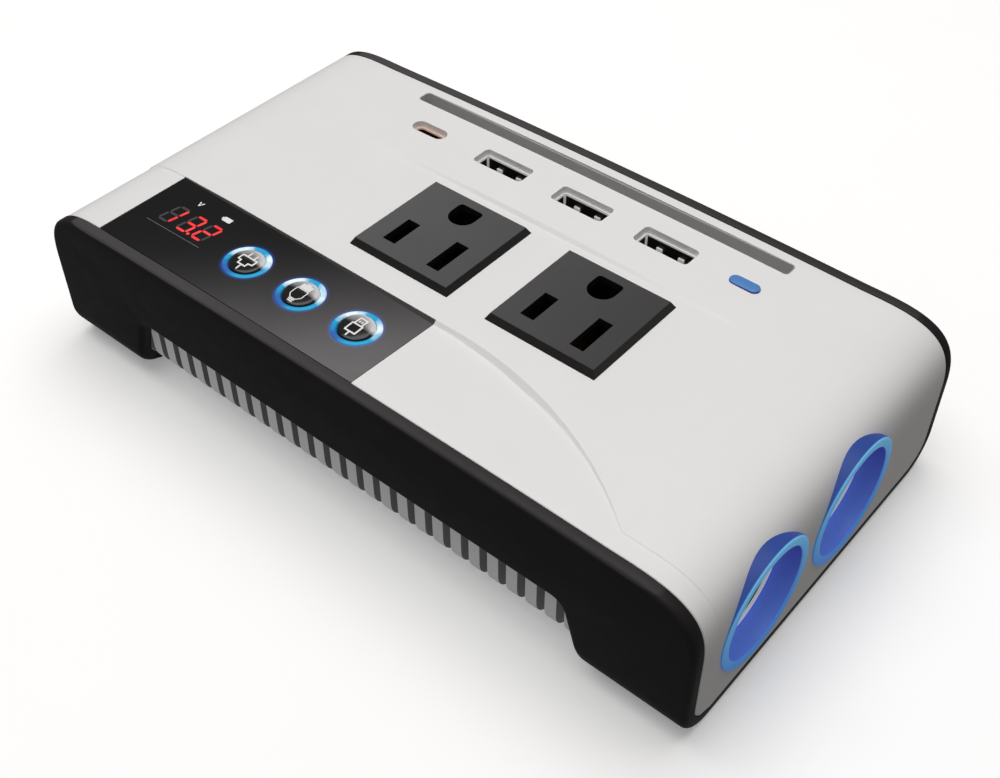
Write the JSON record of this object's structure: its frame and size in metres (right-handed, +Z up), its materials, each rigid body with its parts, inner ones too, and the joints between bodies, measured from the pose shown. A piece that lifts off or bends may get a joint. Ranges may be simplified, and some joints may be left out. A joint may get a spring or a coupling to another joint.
{
  "type": "power inverter",
  "caption": "Flat crowned car power inverter with mains outlets, USB ports, a lit button panel, end-mounted car sockets and a finned heat sink.",
  "frame": {"origin": "on the table, under the middle of the housing", "axes": "+X along the length towards the car sockets, +Y from the panel side to the groove side, +Z up"},
  "size_m": [0.1708, 0.091, 0.0388],
  "materials": {
    "cover_white": "satin",
    "shell_black": "satin",
    "sink_aluminium": "anodised, satin",
    "pad_rubber": "matt",
    "screw_steel": "satin",
    "panel_gloss": "gloss",
    "button_black": "gloss",
    "ring_blue": "translucent, lit",
    "board_green": "solder mask",
    "display_black": "gloss",
    "outlet_grey": "satin",
    "contact_brass": "bright",
    "port_metal": "bright",
    "port_black": "satin",
    "indicator_blue": "translucent, lit",
    "collar_blue": "gloss",
    "winding_yellow": "taped wire",
    "capacitor_blue": "sleeved",
    "fuse_orange": "gloss"
  },
  "bodies": {
    "housing": {"top_cover": "cover_white", "left_end": "cover_white", "front_right_end": "cover_white", "back_right_end": "cover_white", "base_shell": "shell_black", "heat_sink": "sink_aluminium", "rubber_pads": "pad_rubber", "case_screws": "screw_steel", "control_panel": "panel_gloss", "ac_light_ring": "ring_blue", "socket_light_ring": "ring_blue", "usb_light_ring": "ring_blue", "display_board": "board_green", "display_module": "display_black", "button_switches": "board_green", "left_outlet": "outlet_grey", "right_outlet": "outlet_grey", "left_outlet_contacts": "contact_brass", "right_outlet_contacts": "contact_brass", "left_usb_a_shell": "port_metal", "middle_usb_a_shell": "port_metal", "right_usb_a_shell": "port_metal", "left_usb_a_tongue": "port_black", "middle_usb_a_tongue": "port_black", "right_usb_a_tongue": "port_black", "usb_c_shell": "port_metal", "usb_c_tongue": "port_black", "usb_board": "board_green", "indicator_lens": "indicator_blue", "indicator_led": "indicator_blue", "front_socket_collar": "collar_blue", "back_socket_collar": "collar_blue", "front_socket_barrel": "port_metal", "back_socket_barrel": "port_metal", "front_socket_insulator": "port_black", "back_socket_insulator": "port_black", "front_socket_contact": "contact_brass", "back_socket_contact": "contact_brass", "socket_bracket": "port_black", "lead_gland": "port_black", "fan_frame": "port_black", "main_board": "board_green", "board_standoffs": "contact_brass", "board_screws": "screw_steel", "transformer_core": "port_black", "transformer_winding": "winding_yellow", "input_capacitors": "capacitor_blue", "output_choke": "winding_yellow", "power_transistors": "port_black", "fuse_holder": "port_black", "blade_fuse": "fuse_orange"},
    "ac_button": {"ac_button": "button_black"},
    "socket_button": {"socket_button": "button_black"},
    "usb_button": {"usb_button": "button_black"},
    "rotor": {"fan_rotor": "port_black"}
  },
  "joints": [
    {"name": "ac_button_press", "type": "slide", "parent": "housing", "child": "ac_button", "axis": [0, 0, -1], "range_m": [0, 0.0006], "stiffness_N_per_m": 300, "springref_m": -0.0015},
    {"name": "socket_button_press", "type": "slide", "parent": "housing", "child": "socket_button", "axis": [0, 0, -1], "range_m": [0, 0.0006], "stiffness_N_per_m": 300, "springref_m": -0.0015},
    {"name": "usb_button_press", "type": "slide", "parent": "housing", "child": "usb_button", "axis": [0, 0, -1], "range_m": [0, 0.0006], "stiffness_N_per_m": 300, "springref_m": -0.0015},
    {"name": "fan_spin", "type": "hinge", "parent": "housing", "child": "rotor", "pos_m": [-0.0777, 0.014, 0.0159], "axis": [1, 0, 0], "continuous": true}
  ]
}
